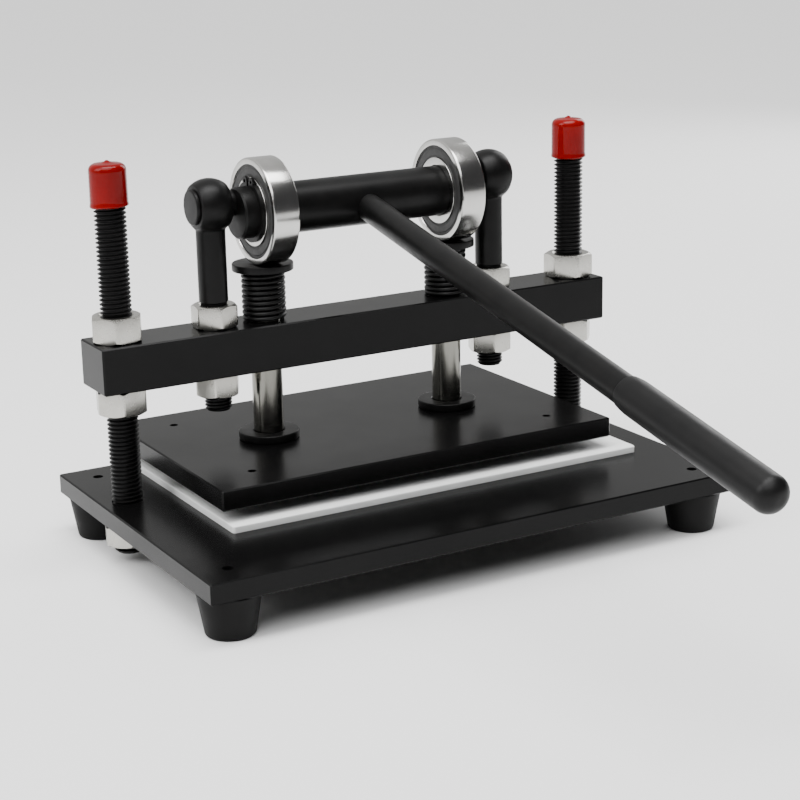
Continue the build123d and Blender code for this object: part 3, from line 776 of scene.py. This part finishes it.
# ---- platen group -------------------------------------------------------------------
def make_guide(side):
    """A guide rod with the flange at its foot and the disc head that holds the spring."""
    rod_low, rod_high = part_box(f"guide_rod_{side}")
    base = Vector((middle(f"guide_rod_{side}").x, middle(f"guide_rod_{side}").y, 0))
    rod, hub, bore = ROD_RADIUS, HEAD_HUB_RADIUS, ROD_RADIUS + SLIDING_GAP
    outline = softened(
        [(rod_low.z, ROD_SCREW_RADIUS), (rod_low.z, rod), (rod_high.z, rod), (rod_high.z, CORE)],
        [0, 0.6 * MM, 0.6 * MM, 0],
    )
    turned(f"chromed_rod_{side}", outline, base, (0, 0, 1), "platen", "chrome_rod", (f"guide_rod_{side}",))
    head_low, head_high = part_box(f"rod_head_{side}")
    disc = (head_high.x - head_low.x) / 2
    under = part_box(f"return_spring_{side}")[1].z
    roof = rod_high.z + 0.05 * MM
    outline = softened(
        [(roof, CORE), (roof, bore), (head_low.z, bore), (head_low.z, hub), (under, hub),
         (under, disc), (head_high.z, disc), (head_high.z, CORE)],
        [0, 0, 0, 0.3 * MM, 0.3 * MM, 0.5 * MM, 0.7 * MM, 0],
    )
    turned(f"spring_head_{side}", outline, base, (0, 0, 1), "platen", "black_steel", (f"rod_head_{side}",))
    low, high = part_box(f"rod_flange_{side}")
    r = (high.x - low.x) / 2
    outline = softened(
        [(low.z, bore), (low.z, r - 0.4 * MM), (low.z + 1.2 * MM, r),
         (high.z, r), (high.z, rod + 0.9 * MM), (high.z - 0.8 * MM, bore)],
        [0, 0.3 * MM, 0.3 * MM, 0.7 * MM, 0.2 * MM, 0], closed=True,
    )
    turned(
        f"foot_flange_{side}", outline, base, (0, 0, 1), "platen", "black_steel", (f"rod_flange_{side}",),
        closed=True,
    )


def make_spring(side):
    """One helix of round wire, its end turns laid flat, between beam and head."""
    low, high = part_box(f"return_spring_{side}")
    centre = (low + high) / 2
    wire, radius, turns = SPRING_WIRE, SPRING_RADIUS, SPRING_TURNS
    bottom, top = low.z + wire, high.z - wire
    per_turn, section = 64, 14
    start_angle = 0.0 if side == "left" else 1.9
    steps = int(turns * per_turn)
    flat = 0.7  # the part of a turn, at each end, over which the pitch opens up
    verts = []
    for i in range(steps + 1):
        turn = turns * i / steps
        if turn < flat:
            rise = 0.5 * turn * turn / flat
        elif turn > turns - flat:
            left = turns - turn
            rise = turns - flat - 0.5 * left * left / flat
        else:
            rise = turn - 0.5 * flat
        z = bottom + (top - bottom) * rise / (turns - flat)
        a = 2 * pi * turn + start_angle
        centre_line = Vector((centre.x, centre.y, z))
        out = Vector((cos(a), sin(a), 0))
        for k in range(section):
            b = 2 * pi * k / section
            verts.append(centre_line + out * (radius + wire * cos(b)) + Vector((0, 0, wire * sin(b))))
    faces = skin(steps + 1, section)
    coil = piece(
        f"coil_spring_{side}", verts, faces, None, "spring_steel", (f"return_spring_{side}",), crease=60,
    )
    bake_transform(coil)


# ---- feet ---------------------------------------------------------------------------
def make_feet():
    for node in [name for name in frame["nodes"] if name.startswith("foot_") and name != "foot_screws"]:
        low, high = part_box(node)
        base = Vector(((low.x + high.x) / 2, (low.y + high.y) / 2, 0))
        wide, narrow = (high.x - low.x) / 2, 13.5 * MM
        socket, socket_depth, screw = 7.0 * MM, 8.0 * MM, 3.2 * MM
        outline = [
            (high.z, screw), (high.z, wide - 0.1 * MM), (high.z - 1.0 * MM, wide - 0.3 * MM), (0.0, narrow),
            (0.0, 8.2 * MM), (1.0 * MM, socket), (socket_depth, socket), (socket_depth, screw),
        ]
        soft = [0, 0.6 * MM, 0.5 * MM, 1.8 * MM, 0.6 * MM, 0.4 * MM, 0, 0]
        outline = softened(outline, soft, closed=True, steps=6)
        turned(
            f"rubber_{node}", outline, base, (0, 0, 1), "base", "foot_rubber", (node,),
            closed=True, around=80,
        )


set_camera()
light_room()
lay_floor()
finish_cad_nodes()
for side in SIDES:
    make_column(side)
    make_cap(side)
    make_eye_bolt(side)
    make_bearing(side)
    make_guide(side)
    make_spring(side)
make_nuts()
make_camshaft()
make_lever()
make_feet()
